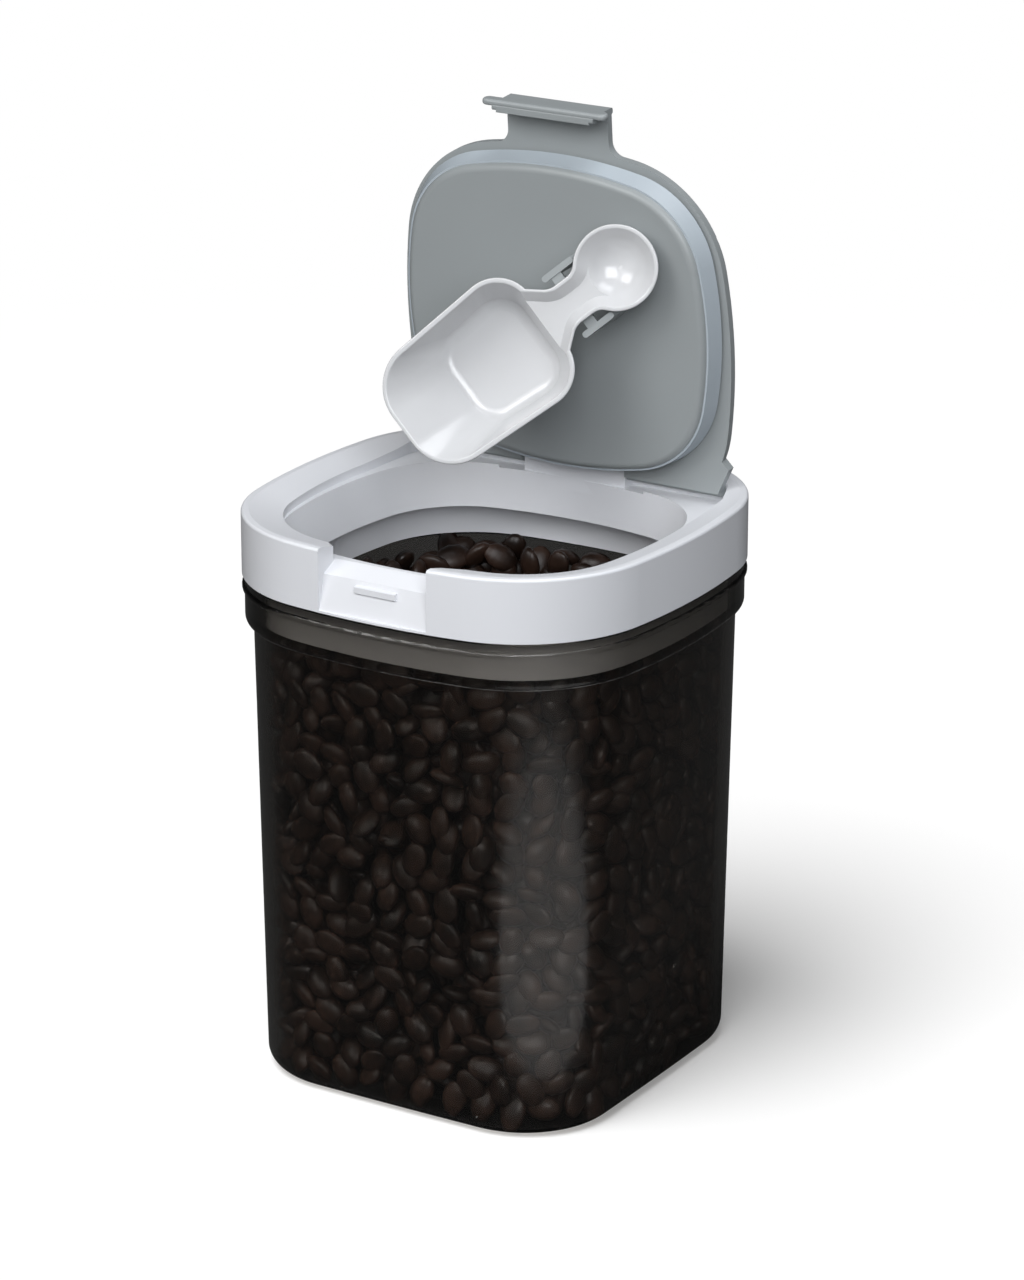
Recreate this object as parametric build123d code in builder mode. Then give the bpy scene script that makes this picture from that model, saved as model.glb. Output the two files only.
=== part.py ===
import math
import os
from build123d import *

os.makedirs("parts", exist_ok=True)

# All sizes are in millimetres. The origin is the middle of the base, +Z is up and the catch faces -Y.

# Cutting shapes reach this far past the faces that they open
cut_margin = 2.0

# Corners are picked by place within this distance
pick_margin = 0.1

# Heights of the container's band
body_top_z = 129.1
band_height = 12.9
band_top_z = body_top_z + band_height

# Collar, outside shape
collar_half = 62.0
collar_corner = 39.4
collar_bow = 10.1
collar_gap = 0.8
collar_height = 17.6
collar_bottom_z = band_top_z + collar_gap
collar_top_z = collar_bottom_z + collar_height
collar_front_y = -collar_half
rim_edge_radius = 0.8

# Collar, lid seat
seat_margin = 10.0
seat_depth_margin = 10.6
seat_half = collar_half - seat_margin
seat_depth_half = collar_half - seat_depth_margin
seat_corner = 29.4
seat_centre_y = 0.6
seat_drop = 4.8
seat_z = collar_top_z - seat_drop
rim_slope_drop = 2.4
seat_lip_z = collar_top_z - rim_slope_drop
rim_slope_inset = 2.2

# Collar, mouth
mouth_step = 1.8
mouth_depth_step = 5.0
mouth_taper = 2.8
mouth_depth_taper = 0.9
mouth_top_half = seat_half - mouth_step
mouth_top_depth_half = seat_depth_half - mouth_depth_step
mouth_top_centre_y = -5.2
mouth_bottom_half = mouth_top_half - mouth_taper
mouth_bottom_depth_half = mouth_top_depth_half - mouth_depth_taper
mouth_bottom_centre_y = -3.9
mouth_corner = 27.0
mouth_bow = 9.6
mouth_wall = 1.8

# Collar, channel for the neck
skirt_wall = 3.9
channel_roof = 4.6
channel_top_z = seat_z - channel_roof

# Collar, inner skirt that hangs in the container's band
inner_skirt_gap = 0.4
inner_skirt_wall = 1.6
inner_skirt_drop = 11.8
inner_skirt_bottom_z = collar_bottom_z - inner_skirt_drop

# Catch recess at the front of the collar, its levels measured back from the front face
recess_half = 16.8
recess_back = 12.0
recess_seat = 9.0
recess_seat_drop = 0.1
recess_ledge = 3.5
recess_ledge_drop = 2.7
recess_foot = 1.0
recess_foot_rise = 0.6
recess_flare = 5.0
recess_flare_front = 8.0
recess_flare_back = 13.0
recess_seat_z = seat_z - recess_seat_drop
recess_ledge_z = seat_z - recess_ledge_drop
recess_foot_z = collar_bottom_z + recess_foot_rise
catch_half = 6.4
catch_drop = 4.2
catch_height = 1.6
catch_front = 1.9
catch_root = 3.8
catch_slope = 0.4
catch_underside = 0.8
catch_top_z = seat_z - catch_drop
catch_bottom_z = catch_top_z - catch_height

# Container
base_margin = 9.0
base_depth_margin = 8.0
base_half = collar_half - base_margin
base_depth_half = collar_half - base_depth_margin
base_corner = 26.5
base_bow = 0.5
base_edge_radius = 5.4
body_top_inset = 3.0
container_wall = 2.0
container_floor = 2.4
foot_inset = 12.0
foot_rise = 0.8
band_inset = 0.7
band_foot_radius = 1.9
bead_radius = 0.9
bead_round = 0.72
bead_drop = 2.8
bead_z = band_top_z - bead_drop
bead_inset = 0.9
neck_fit_gap = 0.3
neck_wall = 2.0

# Soft ring on the neck
neck_seal_width = 2.4
neck_seal_height = 2.5
neck_top_z = channel_top_z - neck_seal_height

# Hinge
hinge_margin = 19.0
hinge_rise = 3.0
hinge_y = collar_half - hinge_margin
hinge_z = seat_z + hinge_rise
lid_open_angle = 85.0
knuckle_radius = 1.8
knuckle_half = 16.2
knuckle_side_gap = 0.4
lug_inner = knuckle_half + knuckle_side_gap
pin_radius = 0.8
pin_running_gap = 0.05
pin_press = 0.02
pin_chamfer = 0.2
pin_grip = 6.2
pin_reach = 8.8
pin_inner = knuckle_half - pin_grip
pin_outer = knuckle_half + pin_reach
hinge_pocket_gap = 0.5
hinge_pocket_reach = 31.0
hinge_tail_gap = 2.3
hinge_groove_half = 3.8
hinge_groove_depth = 0.8
hinge_groove_z = seat_z - hinge_groove_depth

# Lid plate, its levels measured along the lid from the hinge axis and inwards from it
lid_side_gap = 0.5
lid_front_gap = 0.6
plate_rear = -12.0
plate_front = hinge_y + seat_depth_half - seat_centre_y - lid_front_gap
plate_half = seat_half - lid_side_gap
plate_depth_half = (plate_front - plate_rear) / 2
plate_centre = (plate_front + plate_rear) / 2
plate_corner = 33.0
plate_bow = 8.9
plate_outer = 0.05
plate_thickness = 2.8
plate_edge_radius = 0.9
flap_shoulder_margin = 1.8
flap_shoulder_at = 7.5
flap_notch_margin = 4.6
flap_notch_at = 10.5
flap_tip_margin = 5.5
flap_drop = 0.1
flap_shoulder = plate_half - flap_shoulder_margin
flap_notch = plate_half - flap_notch_margin
lug_outer = plate_half - flap_tip_margin
knuckle_notch = 2.7

# Tab and hook
tab_side_gap = 1.0
tab_half = recess_half - tab_side_gap
tab_flare = 4.0
tab_flare_reach = 5.0
tab_overlap = 2.2
tab_root = plate_front - tab_overlap
hook_setback = 1.5
hook_thickness = 1.8
hook_inner = hinge_y + collar_half - hook_setback
hook_outer = hook_inner + hook_thickness
hook_depth = 10.6
hook_round = 0.7
hook_rib_reach = 0.5
hook_rib_sink = 1.0
hook_rib_margin = 1.3
hook_rib_height = 1.4
hook_rib_round = 0.3
hook_rib_half = tab_half - hook_rib_margin
grip_overhang = 3.6
grip_depth = 3.6
grip_height = 1.8
grip_rise = 1.1
grip_end_radius = 1.75
grip_round = 0.8
grip_half = tab_half + grip_overhang

# Plug under the lid
plug_side_gap = 3.0
plug_front_gap = 5.4
plug_rear_gap = 1.2
plug_front = hinge_y - mouth_top_centre_y + mouth_top_depth_half - plug_front_gap
plug_rear = hinge_y - mouth_top_centre_y - mouth_top_depth_half + plug_rear_gap
plug_half = mouth_top_half - plug_side_gap
plug_depth_half = (plug_front - plug_rear) / 2
plug_centre = (plug_front + plug_rear) / 2
plug_corner = 26.0
plug_bow = 9.8
plug_drop = 6.6
plug_wall = 3.4
plug_face = 1.8
plug_edge_radius = 2.2
seal_groove = 1.4

# Soft ring round the plug
lid_seal_flare = 2.1
lid_seal_rear_flare = 0.5
lid_seal_half = plug_half + lid_seal_flare
lid_seal_depth_half = plug_depth_half + (lid_seal_flare + lid_seal_rear_flare) / 2
lid_seal_centre = plug_centre + (lid_seal_flare - lid_seal_rear_flare) / 2
lid_seal_corner = 27.6
lid_seal_start = 3.6
lid_seal_height = 4.4
lid_seal_foot = 0.4
seal_fit_gap = 0.3

# Scoop, placed by its waist on the open lid
scoop_across = 15.6
scoop_past_middle = 12.3
scoop_along = plug_centre + scoop_past_middle
scoop_depth = 25.3
scoop_turn = 41.1
scoop_tilt = 26.0
scoop_wall = 1.5
scoop_edge = 0.4
bowl_front = -58.5
bowl_rear = -7.6
bowl_front_half = 17.4
bowl_rear_half = 20.0
bowl_front_corner = 13.5
bowl_rear_corner = 11.0
bowl_drop = 17.5
bowl_foot_radius = 5.0
bowl_floor_front = -42.0
bowl_floor_rear = -13.5
bowl_floor_front_half = 14.0
bowl_floor_rear_half = 16.5
bowl_floor_corner = 9.5
waist_half = 6.5
waist_root = -15.0
waist_root_half = 16.6
waist_start = -2.6
waist_end = 12.0
waist_drop = 4.6
waist_taper = 41.0
waist_root_fillet = 5.0
waist_spoon_fillet = 4.0
spoon_at = 15.2
spoon_radius = 12.1

# Arms that hold the scoop
arm_waist_gap = 1.8
arm_gap_half = waist_half + arm_waist_gap
arm_thickness = 1.8
arm_end_radius = 0.8
arm_start = -3.8
arm_end = 5.3
arm_below_rim = 2.2
arm_pad_start = -1.0
arm_pad_end = 2.2
arm_pad_upper = 2.6
arm_pad_lower = 4.4
arm_pad_gap = 0.15


def circles_meet(first_centre, first_radius, second_centre, second_radius):
    """The crossing point, in the +X +Y quarter, of a circle centred on X and one centred on Y."""
    apart = math.hypot(first_centre, second_centre)
    along = (first_radius ** 2 - second_radius ** 2 + apart ** 2) / (2 * apart)
    aside = math.sqrt(max(first_radius ** 2 - along ** 2, 0.0))
    x_step, y_step = -first_centre / apart, second_centre / apart
    x = first_centre + along * x_step
    y = along * y_step
    return x - aside * y_step, y + aside * x_step


def bowed_outline(half_x, half_y, corner, bow, centre=(0.0, 0.0), inset=0.0):
    """Draw a rounded rectangle with bowed sides in the active line, moved inwards by inset."""
    side_radius = (half_y ** 2 + bow ** 2) / (2 * bow)
    end_radius = (half_x ** 2 + bow ** 2) / (2 * bow)
    side_centre = half_x - side_radius
    end_centre = half_y - end_radius
    cx, cy = circles_meet(side_centre, side_radius - corner, end_centre, end_radius - corner)
    side_turn = math.atan2(cy, cx - side_centre)
    end_turn = math.atan2(cy - end_centre, cx)
    middle_turn = (side_turn + end_turn) / 2
    side = side_radius - inset
    end = end_radius - inset
    round_off = corner - inset
    side_end = (side_centre + side * math.cos(side_turn), side * math.sin(side_turn))
    corner_middle = (cx + round_off * math.cos(middle_turn), cy + round_off * math.sin(middle_turn))
    end_start = (end * math.cos(end_turn), end_centre + end * math.sin(end_turn))
    side_middle = side_centre + side
    end_middle = end_centre + end

    def at(point, across, along):
        return (centre[0] + across * point[0], centre[1] + along * point[1])

    ThreePointArc(at(side_end, 1, -1), at((side_middle, 0), 1, 1), at(side_end, 1, 1))
    ThreePointArc(at(side_end, 1, 1), at(corner_middle, 1, 1), at(end_start, 1, 1))
    ThreePointArc(at(end_start, 1, 1), at((0, end_middle), 1, 1), at(end_start, -1, 1))
    ThreePointArc(at(end_start, -1, 1), at(corner_middle, -1, 1), at(side_end, -1, 1))
    ThreePointArc(at(side_end, -1, 1), at((side_middle, 0), -1, 1), at(side_end, -1, -1))
    ThreePointArc(at(side_end, -1, -1), at(corner_middle, -1, -1), at(end_start, -1, -1))
    ThreePointArc(at(end_start, -1, -1), at((0, end_middle), 1, -1), at(end_start, 1, -1))
    ThreePointArc(at(end_start, 1, -1), at(corner_middle, 1, -1), at(side_end, 1, -1))


def collar_outline(inset=0.0):
    """The collar's outline, which the neck, the band and the body's top follow."""
    bowed_outline(collar_half, collar_half, collar_corner, collar_bow, inset=inset)


def lid_vector(across, along, inward):
    """A step on the open lid: across the hinge, along the plate and inwards from it."""
    turn = math.radians(lid_open_angle)
    return Vector(
        across,
        -along * math.cos(turn) - inward * math.sin(turn),
        along * math.sin(turn) - inward * math.cos(turn),
    )


def lid_point(across, along, inward):
    """A place on the open lid, by its step from the middle of the hinge axis."""
    return Vector(0, hinge_y, hinge_z) + lid_vector(across, along, inward)


def waist_corners(inset):
    """The corners of the scoop's waist, flared towards the deep bowl, moved inwards by inset."""
    return (
        (waist_root, inset - waist_root_half),
        (waist_start, inset - waist_half),
        (waist_end, inset - waist_half),
        (waist_end, waist_half - inset),
        (waist_start, waist_half - inset),
        (waist_root, waist_root_half - inset),
    )


def waist_side(below_rim, outward=0.0):
    """Half the width of the scoop's waist at a level below its rim, moved sideways by outward."""
    return waist_half - below_rim * math.tan(math.radians(waist_taper)) + outward


def spoon_ball_edge(inset):
    """The radius of the spoon's round bottom, where its sloping side has come down to the waist's floor."""
    return spoon_radius - inset - (waist_drop - inset) * math.tan(math.radians(waist_taper))


def spoon_bottom(inset):
    """How far below the rim the spoon's round bottom reaches, running on smoothly from its sloping side."""
    return waist_drop - inset + spoon_ball_edge(inset) * math.tan(math.radians((90 - waist_taper) / 2))


def bowl_corners(front, rear, front_half, rear_half, inset):
    """The four corners of the scoop's deep bowl at one level, moved inwards by inset."""
    return (
        (front + inset, inset - front_half),
        (rear - inset, inset - rear_half),
        (rear - inset, rear_half - inset),
        (front + inset, front_half - inset),
    )


lid_along = lid_vector(0, 1, 0)
lid_inward = lid_vector(0, 0, 1)
lid_plane = Plane(origin=lid_point(0, 0, 0), x_dir=(1, 0, 0), z_dir=lid_inward)
grip_plane = Plane(origin=lid_point(0, hook_outer + grip_rise, 0), x_dir=(1, 0, 0), z_dir=lid_along)
plate_inner = plate_outer + plate_thickness
plug_bottom = plate_inner + plug_drop

scoop_turn_rad = math.radians(scoop_turn)
scoop_tilt_rad = math.radians(scoop_tilt)
scoop_origin = lid_point(scoop_across, scoop_along, scoop_depth)
scoop_axis = lid_vector(
    math.cos(scoop_tilt_rad) * math.cos(scoop_turn_rad),
    math.cos(scoop_tilt_rad) * math.sin(scoop_turn_rad),
    -math.sin(scoop_tilt_rad),
)
scoop_normal = lid_vector(
    math.sin(scoop_tilt_rad) * math.cos(scoop_turn_rad),
    math.sin(scoop_tilt_rad) * math.sin(scoop_turn_rad),
    math.cos(scoop_tilt_rad),
)
scoop_plane = Plane(origin=scoop_origin, x_dir=scoop_axis, z_dir=scoop_normal)
spoon_plane = Plane(
    origin=scoop_plane.from_local_coords((spoon_at, 0, 0)),
    x_dir=scoop_axis,
    z_dir=scoop_plane.y_dir,
)
pad_plane = Plane(
    origin=scoop_plane.from_local_coords((arm_pad_start, 0, 0)),
    x_dir=scoop_plane.y_dir,
    z_dir=scoop_axis,
)
arm_plane = Plane(
    origin=lid_point(scoop_across, scoop_along, 0),
    x_dir=lid_vector(math.cos(scoop_turn_rad), math.sin(scoop_turn_rad), 0),
    z_dir=lid_inward,
)

# Container: tapered tub, neck band with its beads, and the upright neck inside the collar

neck_inset = skirt_wall + neck_fit_gap
neck_inner_inset = neck_inset + neck_wall

with BuildPart() as container_body:
    with BuildSketch(Plane.XY.offset(bead_z - bead_radius)):
        with BuildLine():
            collar_outline(bead_inset - bead_radius)
        make_face()
    extrude(amount=2 * bead_radius)
    fillet(container_body.edges().filter_by(GeomType.LINE, reverse=True), bead_round)
    with BuildSketch(Plane.XY.offset(body_top_z)):
        with BuildLine():
            collar_outline(band_inset)
        make_face()
    extrude(amount=band_top_z - body_top_z)
    fillet(container_body.edges().group_by(Axis.Z)[0], band_foot_radius)
    with BuildSketch(Plane.XY):
        with BuildLine():
            bowed_outline(base_half, base_depth_half, base_corner, base_bow)
        make_face()
    with BuildSketch(Plane.XY.offset(body_top_z)):
        with BuildLine():
            collar_outline(body_top_inset)
        make_face()
    loft()
    fillet(container_body.edges().group_by(Axis.Z)[0], base_edge_radius)
    with BuildSketch(Plane.XY.offset(band_top_z)):
        with BuildLine():
            collar_outline(neck_inset)
        make_face()
    extrude(amount=neck_top_z - band_top_z)
    with BuildSketch(Plane.XY.offset(container_floor)):
        with BuildLine():
            bowed_outline(base_half, base_depth_half, base_corner, base_bow, inset=container_wall)
        make_face()
    with BuildSketch(Plane.XY.offset(body_top_z)):
        with BuildLine():
            collar_outline(neck_inner_inset)
        make_face()
    loft(mode=Mode.SUBTRACT)
    with BuildSketch(Plane.XY.offset(body_top_z)):
        with BuildLine():
            collar_outline(neck_inner_inset)
        make_face()
    extrude(amount=neck_top_z - body_top_z, mode=Mode.SUBTRACT)
    with BuildSketch(Plane.XY):
        with BuildLine():
            bowed_outline(base_half, base_depth_half, base_corner, base_bow, inset=foot_inset)
        make_face()
    extrude(amount=foot_rise, mode=Mode.SUBTRACT)

container_body.part.label = "container_body"
export_step(container_body.part, "parts/container_body.step")

# Soft ring between the neck and the collar's channel

seal_middle_inset = (neck_inset + neck_inner_inset) / 2

with BuildPart() as neck_seal:
    with BuildSketch(Plane.XY.offset(neck_top_z)):
        with BuildLine():
            collar_outline(seal_middle_inset - neck_seal_width / 2)
        make_face()
    extrude(amount=channel_top_z - neck_top_z)
    with BuildSketch(Plane.XY.offset(neck_top_z)):
        with BuildLine():
            collar_outline(seal_middle_inset + neck_seal_width / 2)
        make_face()
    extrude(amount=channel_top_z - neck_top_z, mode=Mode.SUBTRACT)

neck_seal.part.label = "neck_seal"
export_step(neck_seal.part, "parts/neck_seal.step")

# Collar: outer wall, sloping rim, lid seat, mouth, inner skirt, catch recess and the hinge's middle knuckle

hinge_pocket_back_y = hinge_y + hinge_tail_gap
hinge_pocket_front_y = hinge_y - hinge_pocket_reach
flap_shoulder_y = hinge_y - flap_shoulder_at

with BuildPart() as collar:
    with BuildSketch(Plane.XY.offset(collar_bottom_z)):
        with BuildLine():
            collar_outline()
        make_face()
    extrude(amount=collar_top_z - collar_bottom_z)
    fillet(collar.edges().group_by(Axis.Z)[-1], rim_edge_radius)
    with BuildSketch(Plane.XY.offset(seat_lip_z)):
        with BuildLine():
            bowed_outline(seat_half, seat_depth_half, seat_corner, collar_bow,
                          centre=(0, seat_centre_y))
        make_face()
    with BuildSketch(Plane.XY.offset(collar_top_z)):
        with BuildLine():
            collar_outline(rim_slope_inset)
        make_face()
    loft(mode=Mode.SUBTRACT)
    with BuildSketch(Plane.XY.offset(seat_z)):
        with BuildLine():
            bowed_outline(seat_half, seat_depth_half, seat_corner, collar_bow,
                          centre=(0, seat_centre_y))
        make_face()
    extrude(amount=seat_lip_z - seat_z, mode=Mode.SUBTRACT)
    with BuildSketch(Plane.XY.offset(seat_z)):
        with BuildLine():
            Polyline(
                (-lug_outer - hinge_pocket_gap, hinge_pocket_back_y),
                (lug_outer + hinge_pocket_gap, hinge_pocket_back_y),
                (flap_shoulder + hinge_pocket_gap, flap_shoulder_y),
                (plate_half, hinge_pocket_front_y),
                (-plate_half, hinge_pocket_front_y),
                (-flap_shoulder - hinge_pocket_gap, flap_shoulder_y),
                close=True,
            )
        make_face()
    extrude(amount=collar_top_z - seat_z, mode=Mode.SUBTRACT)
    with BuildSketch(Plane.XY.offset(hinge_groove_z)):
        groove_start_y = hinge_y - hinge_groove_half
        with Locations((0, (groove_start_y + hinge_pocket_back_y) / 2)):
            Rectangle(2 * (lug_outer + hinge_pocket_gap), hinge_pocket_back_y - groove_start_y)
    extrude(amount=seat_z - hinge_groove_z, mode=Mode.SUBTRACT)
    with BuildSketch(Plane.XY.offset(collar_bottom_z)):
        with BuildLine():
            bowed_outline(mouth_bottom_half, mouth_bottom_depth_half, mouth_corner, mouth_bow,
                          centre=(0, mouth_bottom_centre_y))
        make_face()
    with BuildSketch(Plane.XY.offset(seat_z)):
        with BuildLine():
            bowed_outline(mouth_top_half, mouth_top_depth_half, mouth_corner, mouth_bow,
                          centre=(0, mouth_top_centre_y))
        make_face()
    loft(mode=Mode.SUBTRACT)
    with BuildSketch(Plane.XY.offset(collar_bottom_z)):
        with BuildLine():
            collar_outline(skirt_wall)
        make_face()
        with BuildLine():
            bowed_outline(mouth_top_half, mouth_top_depth_half, mouth_corner, mouth_bow,
                          centre=(0, mouth_top_centre_y), inset=-mouth_wall)
        make_face(mode=Mode.SUBTRACT)
    extrude(amount=channel_top_z - collar_bottom_z, mode=Mode.SUBTRACT)
    with BuildSketch(Plane.XY.offset(inner_skirt_bottom_z)):
        with BuildLine():
            collar_outline(neck_inner_inset + inner_skirt_gap)
        make_face()
        with BuildLine():
            collar_outline(neck_inner_inset + inner_skirt_gap + inner_skirt_wall)
        make_face(mode=Mode.SUBTRACT)
    extrude(amount=channel_top_z - inner_skirt_bottom_z)
    with BuildSketch(Plane.YZ.offset(-recess_half)):
        with BuildLine():
            Polyline(
                (collar_front_y + recess_back, recess_seat_z),
                (collar_front_y + recess_seat, recess_seat_z),
                (collar_front_y + recess_ledge, recess_ledge_z),
                (collar_front_y + recess_foot, recess_foot_z),
                (collar_front_y - cut_margin, recess_foot_z),
                (collar_front_y - cut_margin, collar_top_z + cut_margin),
                (collar_front_y + recess_back, collar_top_z + cut_margin),
                close=True,
            )
        make_face()
    extrude(amount=2 * recess_half, mode=Mode.SUBTRACT)
    with BuildSketch(Plane.XY.offset(recess_seat_z)):
        with BuildLine():
            Polyline(
                (-recess_half, collar_front_y + recess_flare_front),
                (recess_half, collar_front_y + recess_flare_front),
                (recess_half + recess_flare, collar_front_y + recess_flare_back),
                (-recess_half - recess_flare, collar_front_y + recess_flare_back),
                close=True,
            )
        make_face()
    extrude(amount=collar_top_z - recess_seat_z, mode=Mode.SUBTRACT)
    with BuildSketch(Plane.YZ.offset(-catch_half)):
        with BuildLine():
            Polyline(
                (collar_front_y + catch_root, catch_top_z + catch_slope),
                (collar_front_y + catch_front, catch_top_z),
                (collar_front_y + catch_front, catch_bottom_z),
                (collar_front_y + catch_root, catch_bottom_z - catch_underside),
                close=True,
            )
        make_face()
    extrude(amount=2 * catch_half)
    with BuildSketch(Plane.YZ.offset(-knuckle_half)):
        with Locations((hinge_y, hinge_z)):
            Circle(knuckle_radius)
        with Locations((hinge_y, (channel_top_z + hinge_z) / 2)):
            Rectangle(2 * knuckle_radius, hinge_z - channel_top_z)
    extrude(amount=2 * knuckle_half)
    with BuildSketch(Plane.YZ.offset(-knuckle_half)):
        with Locations((hinge_y, hinge_z)):
            Circle(pin_radius - pin_press)
    extrude(amount=2 * knuckle_half, mode=Mode.SUBTRACT)

collar.part.label = "collar"
export_step(collar.part, "parts/collar.step")

# Short pins, pressed into the knuckle and turning in the lid's lugs

with BuildPart() as hinge_pin_left:
    with BuildSketch(Plane.YZ.offset(-pin_outer)):
        with Locations((hinge_y, hinge_z)):
            Circle(pin_radius)
    extrude(amount=pin_outer - pin_inner)
    chamfer(hinge_pin_left.edges(), pin_chamfer)

hinge_pin_left.part.label = "hinge_pin_left"
export_step(hinge_pin_left.part, "parts/hinge_pin_left.step")

with BuildPart() as hinge_pin_right:
    with BuildSketch(Plane.YZ.offset(pin_inner)):
        with Locations((hinge_y, hinge_z)):
            Circle(pin_radius)
    extrude(amount=pin_outer - pin_inner)
    chamfer(hinge_pin_right.edges(), pin_chamfer)

hinge_pin_right.part.label = "hinge_pin_right"
export_step(hinge_pin_right.part, "parts/hinge_pin_right.step")

# Lid plate with its lugs, tab, hook and grip bar

with BuildPart() as lid_shell:
    with BuildSketch(grip_plane):
        with Locations((0, grip_depth / 2 - hook_depth)):
            RectangleRounded(2 * grip_half, grip_depth, grip_end_radius)
    extrude(amount=-grip_height)
    fillet(lid_shell.edges(), grip_round)
    with BuildSketch(lid_plane.offset(plate_outer)) as plate_sketch:
        with BuildLine():
            bowed_outline(plate_half, plate_depth_half, plate_corner, plate_bow, centre=(0, plate_centre))
        make_face()
        with BuildLine():
            Polyline(
                (-lug_outer, -flap_drop),
                (lug_outer, -flap_drop),
                (flap_shoulder, flap_shoulder_at),
                (flap_notch, flap_notch_at),
                (-flap_notch, flap_notch_at),
                (-flap_shoulder, flap_shoulder_at),
                close=True,
            )
        make_face()
        with Locations((0, (tab_root + hook_outer) / 2)):
            Rectangle(2 * tab_half, hook_outer - tab_root)
        with Locations((0, -flap_drop - plate_half / 2)):
            Rectangle(3 * plate_half, plate_half, mode=Mode.SUBTRACT)
        with Locations((0, knuckle_notch - plate_half / 2)):
            Rectangle(2 * lug_inner, plate_half, mode=Mode.SUBTRACT)
        tab_corners = plate_sketch.vertices().filter_by_position(Axis.Y, tab_root - tab_flare_reach,
                                                                 tab_root + tab_flare_reach)
        fillet(tab_corners.filter_by_position(Axis.X, -tab_half - pick_margin, tab_half + pick_margin),
               tab_flare)
    extrude(amount=plate_thickness)
    plate_back = lid_shell.faces().sort_by(SortBy.AREA)[-2:].sort_by(Axis.Y)[-1]
    fillet(plate_back.outer_wire().edges().filter_by_position(
        Axis.Z, hinge_z + flap_notch_at, hinge_z + hook_outer), plate_edge_radius)
    with BuildSketch(Plane(origin=lid_point(-tab_half, 0, 0), x_dir=lid_along, z_dir=(1, 0, 0))):
        with Locations(((hook_inner + hook_outer) / 2, (plate_outer + hook_depth) / 2)):
            RectangleRounded(hook_outer - hook_inner, hook_depth - plate_outer, hook_round)
    extrude(amount=2 * tab_half)
    with BuildSketch(Plane(origin=lid_point(-hook_rib_half, 0, 0), x_dir=lid_along, z_dir=(1, 0, 0))):
        with Locations((hook_inner + (hook_rib_sink - hook_rib_reach) / 2,
                        hook_depth - hook_rib_height / 2)):
            RectangleRounded(hook_rib_sink + hook_rib_reach, hook_rib_height, hook_rib_round)
    extrude(amount=2 * hook_rib_half)
    for start in (lug_inner, -lug_outer):
        with BuildSketch(Plane(origin=lid_point(start, 0, 0), x_dir=lid_along, z_dir=(1, 0, 0))):
            Circle(knuckle_radius)
        extrude(amount=lug_outer - lug_inner)
    for start in (lug_inner, -pin_outer - hinge_pocket_gap):
        with BuildSketch(Plane(origin=lid_point(start, 0, 0), x_dir=lid_along, z_dir=(1, 0, 0))):
            Circle(pin_radius + pin_running_gap)
        extrude(amount=pin_outer + hinge_pocket_gap - lug_inner, mode=Mode.SUBTRACT)

lid_shell.part.label = "lid_shell"
export_step(lid_shell.part, "parts/lid_shell.step")

# Plug: hollow inner cover with the seal's groove and the two arms for the scoop

with BuildPart() as lid_plug:
    with BuildSketch(lid_plane.offset(plate_inner)):
        with BuildLine():
            bowed_outline(plug_half, plug_depth_half, plug_corner, plug_bow, centre=(0, plug_centre))
        make_face()
    extrude(amount=plug_drop)
    fillet(lid_plug.faces().filter_by(lid_plane).sort_by(Axis.Y)[0].edges(), plug_edge_radius)
    with BuildSketch(lid_plane.offset(plate_inner)):
        with BuildLine():
            bowed_outline(plug_half, plug_depth_half, plug_corner, plug_bow, centre=(0, plug_centre),
                          inset=plug_wall)
        make_face()
    extrude(amount=plug_drop - plug_face, mode=Mode.SUBTRACT)
    with BuildSketch(lid_plane.offset(lid_seal_start)):
        with BuildLine():
            bowed_outline(plug_half, plug_depth_half, plug_corner, plug_bow, centre=(0, plug_centre),
                          inset=-seal_groove)
        make_face()
        with BuildLine():
            bowed_outline(plug_half, plug_depth_half, plug_corner, plug_bow, centre=(0, plug_centre),
                          inset=seal_groove)
        make_face(mode=Mode.SUBTRACT)
    extrude(amount=lid_seal_height, mode=Mode.SUBTRACT)
    with BuildSketch(arm_plane.offset(plug_bottom)):
        for side in (-1, 1):
            with Locations(((arm_start + arm_end) / 2, side * (arm_gap_half + arm_thickness / 2))):
                RectangleRounded(arm_end - arm_start, arm_thickness, arm_end_radius)
    extrude(amount=scoop_depth - plug_bottom)
    with BuildSketch(scoop_plane.offset(-arm_below_rim)):
        Rectangle(2 * scoop_depth, 2 * scoop_depth)
    extrude(amount=scoop_depth, mode=Mode.SUBTRACT)
    with BuildSketch(pad_plane):
        for side in (-1, 1):
            with BuildLine():
                Polyline(
                    (side * waist_side(arm_pad_upper, arm_pad_gap), -arm_pad_upper),
                    (side * (arm_gap_half + arm_end_radius), -arm_pad_upper),
                    (side * (arm_gap_half + arm_end_radius), -arm_pad_lower),
                    (side * waist_side(arm_pad_lower, arm_pad_gap), -arm_pad_lower),
                    close=True,
                )
            make_face()
    extrude(amount=arm_pad_end - arm_pad_start)

lid_plug.part.label = "lid_plug"
export_step(lid_plug.part, "parts/lid_plug.step")

# Soft ring in the plug's groove, widest next to the plate

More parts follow.
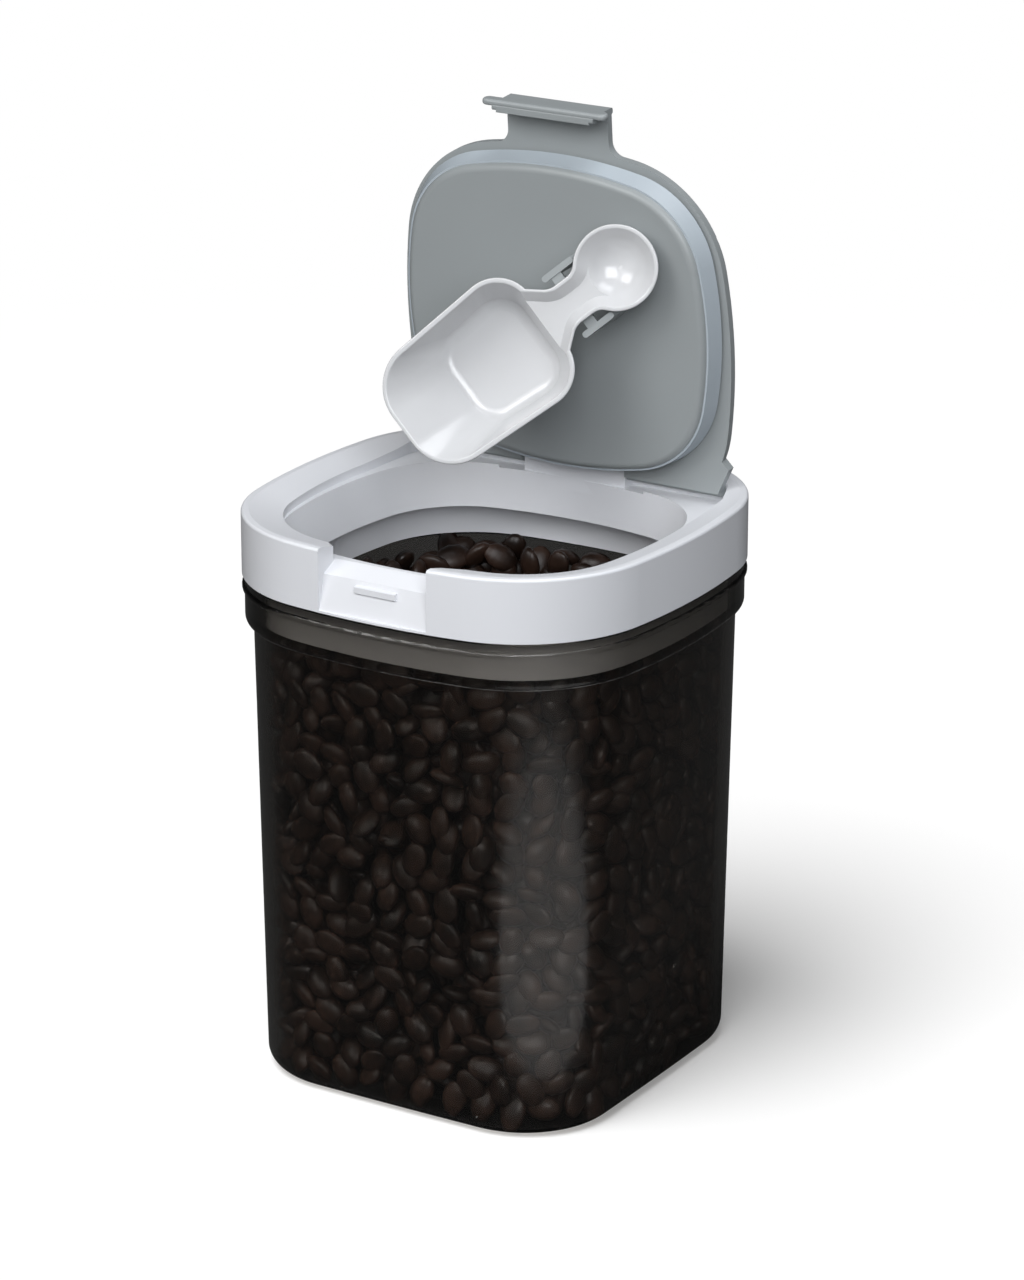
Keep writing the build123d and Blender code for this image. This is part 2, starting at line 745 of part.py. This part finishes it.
with BuildPart() as lid_seal:
    with BuildSketch(lid_plane.offset(lid_seal_start)):
        with BuildLine():
            bowed_outline(lid_seal_half, lid_seal_depth_half, lid_seal_corner, plug_bow,
                          centre=(0, lid_seal_centre))
        make_face()
    with BuildSketch(lid_plane.offset(lid_seal_start + lid_seal_height)):
        with BuildLine():
            bowed_outline(plug_half, plug_depth_half, plug_corner, plug_bow, centre=(0, plug_centre),
                          inset=-lid_seal_foot)
        make_face()
    loft()
    with BuildSketch(lid_plane.offset(lid_seal_start)):
        with BuildLine():
            bowed_outline(plug_half, plug_depth_half, plug_corner, plug_bow, centre=(0, plug_centre),
                          inset=seal_groove - seal_fit_gap)
        make_face()
    extrude(amount=lid_seal_height, mode=Mode.SUBTRACT)

lid_seal.part.label = "lid_seal"
export_step(lid_seal.part, "parts/lid_seal.step")

# Scoop: a deep bowl, a narrow waist and a small round bowl, made outside first and then hollowed

with BuildPart() as scoop:
    for wall, mode in ((0.0, Mode.ADD), (scoop_wall, Mode.SUBTRACT)):
        with BuildSketch(scoop_plane) as bowl_rim:
            with BuildLine():
                Polyline(*bowl_corners(bowl_front, bowl_rear, bowl_front_half, bowl_rear_half, wall),
                         close=True)
            make_face()
            fillet(bowl_rim.vertices().group_by(Axis.X)[0], bowl_front_corner - wall)
            fillet(bowl_rim.vertices().group_by(Axis.X)[-1], bowl_rear_corner - wall)
        with BuildSketch(scoop_plane.offset(wall - bowl_drop)) as bowl_floor:
            with BuildLine():
                Polyline(*bowl_corners(bowl_floor_front, bowl_floor_rear, bowl_floor_front_half,
                                       bowl_floor_rear_half, wall), close=True)
            make_face()
            fillet(bowl_floor.vertices(), bowl_floor_corner - wall)
        loft(mode=mode)
        with BuildSketch(scoop_plane) as waist:
            with BuildLine():
                Polyline(*waist_corners(wall), close=True)
            make_face()
            fillet(waist.vertices().group_by(Axis.X)[1], waist_root_fillet + wall)
            with Locations((spoon_at, 0)):
                Circle(spoon_radius - wall)
            meeting = spoon_at - math.sqrt((spoon_radius - wall) ** 2 - (waist_half - wall) ** 2)
            fillet(waist.vertices().filter_by_position(Axis.X, meeting - pick_margin, meeting + pick_margin),
                   waist_spoon_fillet + wall)
        extrude(amount=wall - waist_drop, taper=waist_taper, mode=mode)
        with BuildSketch(spoon_plane):
            with BuildLine():
                Line((0, waist_drop - wall), (0, spoon_bottom(wall)))
                TangentArc((0, spoon_bottom(wall)), (spoon_ball_edge(wall), waist_drop - wall), tangent=(1, 0))
                Line((spoon_ball_edge(wall), waist_drop - wall), (0, waist_drop - wall))
            make_face()
        revolve(axis=Axis(spoon_plane.origin, scoop_plane.z_dir), mode=mode)
    scoop_levels = scoop.faces().filter_by(scoop_plane).sort_by(Axis(scoop_origin, scoop_normal))
    fillet(scoop_levels[0].edges(), bowl_foot_radius)
    fillet(scoop_levels[1].edges(), bowl_foot_radius - scoop_wall)
    fillet(scoop_levels[-1].edges(), scoop_edge)

scoop.part.label = "scoop"
export_step(scoop.part, "parts/scoop.step")
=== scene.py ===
import math
import random

import bmesh
import bpy
from mathutils import Euler, Matrix, Vector
from mathutils.bvhtree import BVHTree


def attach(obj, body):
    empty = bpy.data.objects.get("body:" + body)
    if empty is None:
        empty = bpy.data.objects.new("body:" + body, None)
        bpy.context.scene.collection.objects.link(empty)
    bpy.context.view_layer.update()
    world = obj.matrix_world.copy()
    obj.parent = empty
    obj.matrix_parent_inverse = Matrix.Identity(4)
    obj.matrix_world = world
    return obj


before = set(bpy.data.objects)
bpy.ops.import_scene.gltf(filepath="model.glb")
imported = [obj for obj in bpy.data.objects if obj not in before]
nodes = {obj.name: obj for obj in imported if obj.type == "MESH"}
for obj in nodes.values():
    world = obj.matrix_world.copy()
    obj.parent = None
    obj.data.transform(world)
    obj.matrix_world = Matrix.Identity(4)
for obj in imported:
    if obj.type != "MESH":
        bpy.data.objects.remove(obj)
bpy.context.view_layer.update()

# Lengths are in metres, in the frame of the solids: +Z up, the catch towards -Y and the hinge towards +Y.

MM = 0.001

# Camera, with its lens and sensor in millimetres
CAMERA_PLACE = Vector((667.5, -1071.9, 567.0)) * MM
CAMERA_AZIMUTH = math.radians(31.75)
CAMERA_ELEVATION = math.radians(19.5)
CAMERA_LENS = 138.15
CAMERA_SENSOR = 36.0
CAMERA_SHIFT_X = 0.0023
CAMERA_CLIP_END = 50.0

# Floor and room
FLOOR_HALF = 6.0
FLOOR_LIT_REACH = 0.35
FLOOR_PLAIN_REACH = 0.8
PAPER_WHITE = (0.82, 0.82, 0.82, 1)
PAPER_GLOW = 0.22
PAPER_DARK = (0.05, 0.05, 0.05, 1)
BACKDROP_WHITE = (1, 1, 1, 1)
BACKDROP_STRENGTH = 1.0
ROOM_TINT = (0.97, 0.98, 1.0, 1)
ROOM_STRENGTH = 0.02

# Lamps, with azimuths, elevations and spread in degrees
LAMP_DISTANCE = 1.1
LAMP_SIZE = 0.6
SMALL_LAMP_SIZE = 0.5
LAMP_AIM = Vector((0, 0, 120.0)) * MM
NEUTRAL_WHITE = (1.0, 1.0, 1.0)
COOL_WHITE = (0.95, 0.97, 1.0)
FLOOR_LIGHT = 3.3
FLOOR_LIGHT_SPREAD = 34.0
FLOOR_LIGHT_AZIMUTH = -8
FLOOR_LIGHT_ELEVATION = 68
GLOW_POWER = 0.11
GLOW_SIZE = 0.25
GLOW_AZIMUTH = 50
GLOW_DISTANCE = 0.22
GLOW_HEIGHT = 3.0 * MM

# Moulded plastic, with noise scales in cycles per metre
CLOUD_SCALE = 18.0
GLOSS_SCALE = 60.0
SKIN_SCALE = 1400.0
SKIN_DEPTH = 0.1 * MM
COAT_ROUGHNESS = 0.12

# Coffee beans: half of one bean's length and width, its height above and below its rim, and its crease,
# with the crease's half width as a share of the bean's
BEAN_LONG = 5.4 * MM
BEAN_WIDE = 3.9 * MM
BEAN_DOME = 2.9 * MM
BEAN_FLAT = 1.5 * MM
BEAN_CREASE = 0.5 * MM
BEAN_CREASE_HALF = 0.1
BEAN_AROUND = 10
BEAN_ALONG = 6
BEAN_SMALLEST = 0.88
BEAN_LARGEST = 1.0
BEAN_SEED = 7

# Coffee beans against the wall
BEAN_GAP = 0.35 * MM
WALL_BEAN_SLACK = 0.6 * MM
WALL_ROW_STEP = 6.3 * MM
WALL_ROW_SCATTER = 0.3
WALL_ROW_START = 0.1
WALL_BEAN_STEP = 9.2 * MM
WALL_STEP_LEAST = 0.85
WALL_STEP_MOST = 1.15
WALL_SLANT_LEAST = 0.3
WALL_BEAN_TILT = 0.45
WALL_LAYER_DEPTHS = (0.0, 5.6 * MM)
WALL_LAYER_START_Z = 6.0 * MM
WALL_BEAN_TOP = 127.0 * MM

# Coffee beans on top
BEAN_LEVEL = 132.0 * MM
HOLLOW_LEVEL = 104.0 * MM
HOLLOW_CENTRE = Vector((-8.0, 4.0)) * MM
HOLLOW_FLAT = 31.0 * MM
HOLLOW_REACH = 53.0 * MM
HEAP_HALF = 60 * MM
HEAP_STEP = 8.2 * MM
HEAP_SCATTER = 0.25
HEAP_WALL_MARGIN = 5.6 * MM
HEAP_SLOPE_STEP = 1 * MM
HEAP_TILT = 0.5
HEAP_LAYERS = (0, 1)
HEAP_LAYER_SHIFT = 0.5
HEAP_LAYER_DEPTH = 4.5 * MM
HEAP_SLACK = 1.2 * MM


def new_material(name):
    """An empty node material, its node tree and its output node."""
    material = bpy.data.materials.new(name)
    material.use_nodes = True
    material.node_tree.nodes.clear()
    out = material.node_tree.nodes.new("ShaderNodeOutputMaterial")
    return material, material.node_tree, out


def add_node(tree, kind, **inputs):
    """A node of that kind, with its inputs set by name."""
    node = tree.nodes.new(kind)
    for key, value in inputs.items():
        node.inputs[key.replace("_", " ")].default_value = value
    return node


def object_noise(tree, scale, detail=3.0):
    """Noise on the piece's own coordinates."""
    place = tree.nodes.new("ShaderNodeTexCoord")
    grain = add_node(tree, "ShaderNodeTexNoise", Scale=scale, Detail=detail, Roughness=0.5)
    tree.links.new(place.outputs["Object"], grain.inputs["Vector"])
    return grain.outputs["Fac"]


def spread(tree, source, low, high):
    """The 0 to 1 value of source taken to the range from low to high."""
    scaled = tree.nodes.new("ShaderNodeMapRange")
    scaled.inputs["To Min"].default_value = low
    scaled.inputs["To Max"].default_value = high
    tree.links.new(source, scaled.inputs["Value"])
    return scaled.outputs["Result"]


def two_tones(tree, source, dark, light, dark_at=0.0, light_at=1.0):
    """A colour between a dark and a light tone, by the value of source."""
    tone = tree.nodes.new("ShaderNodeValToRGB")
    low, high = tone.color_ramp.elements
    low.position = dark_at
    low.color = (*dark, 1)
    high.position = light_at
    high.color = (*light, 1)
    tree.links.new(source, tone.inputs["Fac"])
    return tone.outputs["Color"]


def fine_relief(tree, skin, scale, detail, strength, depth):
    """A fine grain on a skin, as bump."""
    relief = add_node(tree, "ShaderNodeBump", Strength=strength, Distance=depth)
    tree.links.new(object_noise(tree, scale, detail), relief.inputs["Height"])
    tree.links.new(relief.outputs["Normal"], skin.inputs["Normal"])


def mix_by_ray(tree, ray, other_rays, this_ray):
    """One shader for that kind of ray, and another for every other ray."""
    light_path = tree.nodes.new("ShaderNodeLightPath")
    mix = tree.nodes.new("ShaderNodeMixShader")
    tree.links.new(light_path.outputs[ray], mix.inputs["Fac"])
    tree.links.new(other_rays, mix.inputs[1])
    tree.links.new(this_ray, mix.inputs[2])
    return mix.outputs["Shader"]


def moulded_plastic(name, dark, light, rough_low, rough_high, bump, coat=0.0):
    """Smooth moulded plastic: a faint cloud of tone, uneven gloss and a fine skin."""
    material, tree, out = new_material(name)
    skin = add_node(tree, "ShaderNodeBsdfPrincipled", Coat_Weight=coat, Coat_Roughness=COAT_ROUGHNESS)
    cloud = object_noise(tree, CLOUD_SCALE)
    tree.links.new(two_tones(tree, cloud, dark, light), skin.inputs["Base Color"])
    gloss = object_noise(tree, GLOSS_SCALE, detail=4.0)
    tree.links.new(spread(tree, gloss, rough_low, rough_high), skin.inputs["Roughness"])
    fine_relief(tree, skin, scale=SKIN_SCALE, detail=2.0, strength=bump, depth=SKIN_DEPTH)
    tree.links.new(skin.outputs["BSDF"], out.inputs["Surface"])
    return material


def collar_white():
    """The collar's cool white, with a soft gloss."""
    return moulded_plastic("collar_white", dark=(0.74, 0.75, 0.78), light=(0.78, 0.79, 0.82),
                           rough_low=0.32, rough_high=0.42, bump=0.05)


def scoop_white():
    """The scoop's white, glossier than the collar."""
    return moulded_plastic("scoop_white", dark=(0.60, 0.605, 0.615), light=(0.64, 0.645, 0.655),
                           rough_low=0.16, rough_high=0.26, bump=0.03, coat=0.4)


def lid_grey():
    """The mid grey of the lid plate and its plug."""
    return moulded_plastic("lid_grey", dark=(0.29, 0.31, 0.315), light=(0.32, 0.345, 0.35),
                           rough_low=0.34, rough_high=0.44, bump=0.06)


def seal_blue_grey():
    """The pale blue grey of both soft rings."""
    return moulded_plastic("seal_blue_grey", dark=(0.39, 0.44, 0.48), light=(0.44, 0.49, 0.53),
                           rough_low=0.38, rough_high=0.5, bump=0.08)


def pin_steel():
    """Bright steel, a little uneven in its gloss."""
    material, tree, out = new_material("pin_steel")
    steel = add_node(tree, "ShaderNodeBsdfPrincipled", Metallic=1.0)
    steel.inputs["Base Color"].default_value = (0.62, 0.61, 0.60, 1)
    streaks = object_noise(tree, 900.0)
    tree.links.new(spread(tree, streaks, 0.18, 0.34), steel.inputs["Roughness"])
    tree.links.new(steel.outputs["BSDF"], out.inputs["Surface"])
    return material


def smoky_clear():
    """The tub's smoky clear plastic: glossy outside, and darker the longer the way through it."""
    material, tree, out = new_material("smoky_clear")
    wall = add_node(tree, "ShaderNodeBsdfPrincipled", IOR=1.35, Transmission_Weight=1.0,
                    Coat_Weight=0.35, Coat_Roughness=0.28)
    wall.inputs["Base Color"].default_value = (0.92, 0.91, 0.90, 1)
    haze = object_noise(tree, 30.0)
    tree.links.new(spread(tree, haze, 0.10, 0.17), wall.inputs["Roughness"])
    smoke = add_node(tree, "ShaderNodeVolumeAbsorption", Density=190.0)
    smoke.inputs["Color"].default_value = (0.14, 0.11, 0.06, 1)
    window = tree.nodes.new("ShaderNodeBsdfTransparent")
    surface = mix_by_ray(tree, "Is Shadow Ray", wall.outputs["BSDF"], window.outputs["BSDF"])
    tree.links.new(surface, out.inputs["Surface"])
    tree.links.new(smoke.outputs["Volume"], out.inputs["Volume"])
    return material


def roast_brown():
    """Dark roasted beans: an oily brown skin, paler and rougher here and there."""
    material, tree, out = new_material("roast_brown")
    skin = add_node(tree, "ShaderNodeBsdfPrincipled", Specular_IOR_Level=0.35)
    roast = object_noise(tree, 110.0)
    brown = two_tones(tree, roast, dark=(0.006, 0.0035, 0.0025), light=(0.040, 0.021, 0.014),
                      dark_at=0.3, light_at=0.75)
    tree.links.new(brown, skin.inputs["Base Color"])
    tree.links.new(spread(tree, roast, 0.28, 0.5), skin.inputs["Roughness"])
    fine_relief(tree, skin, scale=900.0, detail=3.0, strength=0.3, depth=0.2 * MM)
    tree.links.new(skin.outputs["BSDF"], out.inputs["Surface"])
    return material


def dress(node, material):
    """Give a carried-over solid its finish."""
    mesh = nodes[node].data
    mesh.materials.clear()
    mesh.materials.append(material)


def bean_template():
    """One bean as a mesh: domed above, flat below with a crease along its length."""
    bm = bmesh.new()
    bmesh.ops.create_uvsphere(bm, u_segments=BEAN_AROUND, v_segments=BEAN_ALONG, radius=1.0)
    bmesh.ops.rotate(bm, verts=bm.verts, cent=(0, 0, 0), matrix=Matrix.Rotation(math.pi / 2, 3, "Y"))
    for vert in bm.verts:
        x, y, z = vert.co
        depth = BEAN_DOME if z > 0 else BEAN_FLAT
        on_crease = z < 0 and abs(y) < BEAN_CREASE_HALF
        vert.co = Vector((x * BEAN_LONG, y * BEAN_WIDE, z * (BEAN_CREASE if on_crease else depth)))
    bmesh.ops.recalc_face_normals(bm, faces=bm.faces)
    for face in bm.faces:
        face.smooth = True
    mesh = bpy.data.meshes.new("bean_template")
    bm.to_mesh(mesh)
    bm.free()
    return mesh


def bean_reach(turn, direction):
    """How far a turned bean reaches from its middle in a direction."""
    local = turn.transposed() @ direction
    deep = BEAN_DOME if local.z > 0 else BEAN_FLAT
    return math.sqrt((BEAN_LONG * local.x) ** 2 + (BEAN_WIDE * local.y) ** 2 + (deep * local.z) ** 2)


def heap_level(x, y):
    """The height of the beans' top: level near the walls, hollowed where the closed lid's scoop hangs."""
    away = (Vector((x, y)) - HOLLOW_CENTRE).length
    rise = min(max((away - HOLLOW_FLAT) / (HOLLOW_REACH - HOLLOW_FLAT), 0.0), 1.0)
    rise = rise * rise * (3 - 2 * rise)
    return HOLLOW_LEVEL + (BEAN_LEVEL - HOLLOW_LEVEL) * rise


def inner_wall(tree, z, angle):
    """The tub's inner wall at that height and angle round the middle: the place and the inward direction."""
    outward = Vector((math.cos(angle), math.sin(angle), 0))
    place, normal, _, _ = tree.ray_cast(Vector((0, 0, z)), outward)
    return place, normal


def pour(name, placings):
    """One piece of many beans, from a list of turns, places and sizes."""
    template = bean_template()
    heap = bmesh.new()
    for turn, place, size in placings:
        move = Matrix.Translation(place) @ turn.to_4x4() @ Matrix.Scale(size, 4)
        template.transform(move)
        heap.from_mesh(template)
        template.transform(move.inverted())
    mesh = bpy.data.meshes.new(name)
    heap.to_mesh(mesh)
    heap.free()
    bpy.data.meshes.remove(template)
    piece = bpy.data.objects.new(name, mesh)
    bpy.context.scene.collection.objects.link(piece)
    mesh.materials.append(roast_brown())
    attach(piece, "container")


def lying_turn(rng, up, tilt):
    """A random turn of a bean that lies against a surface, its flat or its domed side to it."""
    side = Matrix.Rotation(math.pi * rng.randint(0, 1), 3, "X")
    spin = Matrix.Rotation(rng.uniform(0, 2 * math.pi), 3, "Z")
    lean = Euler((rng.gauss(0, tilt), rng.gauss(0, tilt), 0)).to_matrix()
    stand = up.to_track_quat("Z", "Y").to_matrix()
    return stand @ lean @ spin @ side


def beans_at_wall(tree, rng):
    """Beans that lie against the tub's wall, in rows, two deep."""
    placings = []
    for depth in WALL_LAYER_DEPTHS:
        z = WALL_LAYER_START_Z
        while z < WALL_BEAN_TOP:
            angle = rng.uniform(0, WALL_ROW_START)
            full = angle + 2 * math.pi
            while angle < full:
                height = z + rng.uniform(-WALL_ROW_SCATTER, WALL_ROW_SCATTER) * WALL_ROW_STEP
                place, inward = inner_wall(tree, height, angle)
                turn = lying_turn(rng, inward, WALL_BEAN_TILT)
                gap = bean_reach(turn, -inward) + BEAN_GAP + depth + rng.uniform(0, WALL_BEAN_SLACK)
                size = rng.uniform(BEAN_SMALLEST, BEAN_LARGEST)
                placings.append((turn, place + inward * gap, size))
                radius = math.hypot(place.x, place.y)
                slant = max(abs(inward.x * math.cos(angle) + inward.y * math.sin(angle)), WALL_SLANT_LEAST)
                angle += WALL_BEAN_STEP * rng.uniform(WALL_STEP_LEAST, WALL_STEP_MOST) * slant / radius
            z += WALL_ROW_STEP
    pour("coffee_beans_at_wall", placings)


def beans_on_top(tree, rng):
    """The beans' top surface, two deep."""
    placings = []
    half = int(HEAP_HALF / HEAP_STEP)
    for layer in HEAP_LAYERS:
        shift = HEAP_LAYER_SHIFT * layer
        for i in range(-half, half + 1):
            for j in range(-half, half + 1):
                x = (i + shift + rng.uniform(-HEAP_SCATTER, HEAP_SCATTER)) * HEAP_STEP
                y = (j + shift + rng.uniform(-HEAP_SCATTER, HEAP_SCATTER)) * HEAP_STEP
                wall, _ = inner_wall(tree, WALL_BEAN_TOP, math.atan2(y, x))
                if math.hypot(x, y) > math.hypot(wall.x, wall.y) - HEAP_WALL_MARGIN:
                    continue
                level = heap_level(x, y)
                slope_x = (heap_level(x + HEAP_SLOPE_STEP, y) - level) / HEAP_SLOPE_STEP
                slope_y = (heap_level(x, y + HEAP_SLOPE_STEP) - level) / HEAP_SLOPE_STEP
                up = Vector((-slope_x, -slope_y, 1)).normalized()
                turn = lying_turn(rng, up, HEAP_TILT)
                sink = bean_reach(turn, up) + layer * HEAP_LAYER_DEPTH + rng.uniform(0, HEAP_SLACK)
                size = rng.uniform(BEAN_SMALLEST, BEAN_LARGEST)
                placings.append((turn, Vector((x, y, level)) - up * sink, size))
    pour("coffee_beans_on_top", placings)


def toward(azimuth, elevation):
    """The direction at that azimuth, from the catch towards the right, and that elevation, in degrees."""
    azimuth = math.radians(azimuth)
    elevation = math.radians(elevation)
    return Vector((
        math.sin(azimuth) * math.cos(elevation),
        -math.cos(azimuth) * math.cos(elevation),
        math.sin(elevation),
    ))


def new_lamp(name, kind, power, color=NEUTRAL_WHITE):
    """A lamp of that kind, hidden from the camera."""
    light = bpy.data.lights.new(name, kind)
    light.energy = power
    light.color = color
    lamp = bpy.data.objects.new(name, light)
    bpy.context.scene.collection.objects.link(lamp)
    lamp.visible_camera = False
    return lamp


def light_only(lamp, pieces, leave_out=False):
    """Limit a lamp to those pieces, or to everything but them."""
    group = bpy.data.collections.new(lamp.name + "_pieces")
    for piece in pieces:
        group.objects.link(piece)
    if leave_out:
        for member in group.collection_objects:
            member.light_linking.link_state = "EXCLUDE"
    lamp.light_linking.receiver_collection = group


def soft_lamp(name, azimuth, elevation, power, floor, color=NEUTRAL_WHITE, size=LAMP_SIZE):
    """A square soft lamp aimed at the upper middle of the canister, which doesn't light the floor."""
    lamp = new_lamp(name, "AREA", power, color)
    lamp.data.shape = "SQUARE"
    lamp.data.size = size
    way = toward(azimuth, elevation)
    lamp.location = LAMP_AIM + way * LAMP_DISTANCE
    lamp.rotation_euler = way.to_track_quat("Z", "Y").to_euler()
    light_only(lamp, [floor], leave_out=True)


def floor_light(floor):
    """Even light on the floor alone, from the front left, for the shadow on the right."""
    lamp = new_lamp("floor_light", "SUN", FLOOR_LIGHT)
    lamp.data.angle = math.radians(FLOOR_LIGHT_SPREAD)
    way = toward(FLOOR_LIGHT_AZIMUTH, FLOOR_LIGHT_ELEVATION)
    lamp.rotation_euler = way.to_track_quat("Z", "Y").to_euler()
    light_only(lamp, [floor])


def table_glow():
    """A faint round lamp on the floor in front, for the lit table that the tub's corner mirrors."""
    lamp = new_lamp("table_glow", "AREA", GLOW_POWER)
    lamp.data.shape = "DISK"
    lamp.data.size = GLOW_SIZE
    lamp.location = toward(GLOW_AZIMUTH, 0) * GLOW_DISTANCE + Vector((0, 0, GLOW_HEIGHT))
    lamp.rotation_euler = (math.pi, 0, 0)
    light_only(lamp, [nodes["container_body"]])


def studio_paper():
    """White paper: shadowed near the canister, plain white further out, dark to all but the camera."""
    material, tree, out = new_material("studio_paper")
    paper = add_node(tree, "ShaderNodeBsdfDiffuse", Color=PAPER_WHITE)
    glow = add_node(tree, "ShaderNodeEmission", Strength=PAPER_GLOW)
    near = tree.nodes.new("ShaderNodeAddShader")
    tree.links.new(paper.outputs["BSDF"], near.inputs[0])
    tree.links.new(glow.outputs["Emission"], near.inputs[1])
    far = add_node(tree, "ShaderNodeEmission", Strength=BACKDROP_STRENGTH)
    place = tree.nodes.new("ShaderNodeTexCoord")
    distance = tree.nodes.new("ShaderNodeVectorMath")
    distance.operation = "LENGTH"
    tree.links.new(place.outputs["Object"], distance.inputs[0])
    fade = tree.nodes.new("ShaderNodeMapRange")
    fade.inputs["From Min"].default_value = FLOOR_LIT_REACH
    fade.inputs["From Max"].default_value = FLOOR_PLAIN_REACH
    tree.links.new(distance.outputs["Value"], fade.inputs["Value"])
    seen = tree.nodes.new("ShaderNodeMixShader")
    tree.links.new(fade.outputs["Result"], seen.inputs["Fac"])
    tree.links.new(near.outputs["Shader"], seen.inputs[1])
    tree.links.new(far.outputs["Emission"], seen.inputs[2])
    dark = add_node(tree, "ShaderNodeBsdfDiffuse", Color=PAPER_DARK)
    surface = mix_by_ray(tree, "Is Camera Ray", dark.outputs["BSDF"], seen.outputs["Shader"])
    tree.links.new(surface, out.inputs["Surface"])
    return material


def add_floor():
    """The pale floor, which is no part of the object."""
    sheet = bmesh.new()
    bmesh.ops.create_grid(sheet, x_segments=1, y_segments=1, size=FLOOR_HALF)
    mesh = bpy.data.meshes.new("studio_floor")
    sheet.to_mesh(mesh)
    sheet.free()
    floor = bpy.data.objects.new("studio_floor", mesh)
    bpy.context.scene.collection.objects.link(floor)
    mesh.materials.append(studio_paper())
    return floor


def add_room():
    """A faint even room light, and a white backdrop to the camera."""
    world = bpy.data.worlds.new("studio")
    bpy.context.scene.world = world
    world.use_nodes = True
    tree = world.node_tree
    tree.nodes.clear()
    out = tree.nodes.new("ShaderNodeOutputWorld")
    room = add_node(tree, "ShaderNodeBackground", Color=ROOM_TINT, Strength=ROOM_STRENGTH)
    backdrop = add_node(tree, "ShaderNodeBackground", Color=BACKDROP_WHITE, Strength=BACKDROP_STRENGTH)
    surface = mix_by_ray(tree, "Is Camera Ray", room.outputs["Background"], backdrop.outputs["Background"])
    tree.links.new(surface, out.inputs["Surface"])


def add_lamps(floor):
    """The soft lamps on the canister, the floor's own light and the glow in front."""
    soft_lamp("front_lamp", azimuth=8, elevation=36, power=2.2, floor=floor)
    soft_lamp("right_front_lamp", azimuth=38, elevation=30, power=7.2, floor=floor, color=COOL_WHITE)
    soft_lamp("left_lamp", azimuth=-24, elevation=40, power=4.4, floor=floor, size=SMALL_LAMP_SIZE)
    soft_lamp("left_low_lamp", azimuth=-20, elevation=15, power=0.8, floor=floor)
    soft_lamp("right_top_lamp", azimuth=100, elevation=70, power=4.4, floor=floor, color=COOL_WHITE)
    soft_lamp("rear_lamp", azimuth=150, elevation=55, power=0.6, floor=floor)
    floor_light(floor)
    table_glow()


def add_camera():
    """The camera at the photograph's place and angle."""
    data = bpy.data.cameras.new("camera")
    data.lens = CAMERA_LENS
    data.sensor_width = CAMERA_SENSOR
    data.shift_x = CAMERA_SHIFT_X
    data.clip_end = CAMERA_CLIP_END
    camera = bpy.data.objects.new("camera", data)
    bpy.context.scene.collection.objects.link(camera)
    camera.location = CAMERA_PLACE
    camera.rotation_euler = (math.pi / 2 - CAMERA_ELEVATION, 0, CAMERA_AZIMUTH)
    bpy.context.scene.camera = camera


white = collar_white()
grey = lid_grey()
seal = seal_blue_grey()
steel = pin_steel()
dress("container_body", smoky_clear())
dress("collar", white)
dress("neck_seal", seal)
dress("hinge_pin_left", steel)
dress("hinge_pin_right", steel)
dress("lid_shell", grey)
dress("lid_plug", grey)
dress("lid_seal", seal)
dress("scoop", scoop_white())

bean_random = random.Random(BEAN_SEED)
tub = bmesh.new()
tub.from_mesh(nodes["container_body"].data)
tub_walls = BVHTree.FromBMesh(tub)
tub.free()
beans_at_wall(tub_walls, bean_random)
beans_on_top(tub_walls, bean_random)

add_room()
add_lamps(add_floor())
add_camera()
bpy.context.scene.view_settings.view_transform = "Standard"
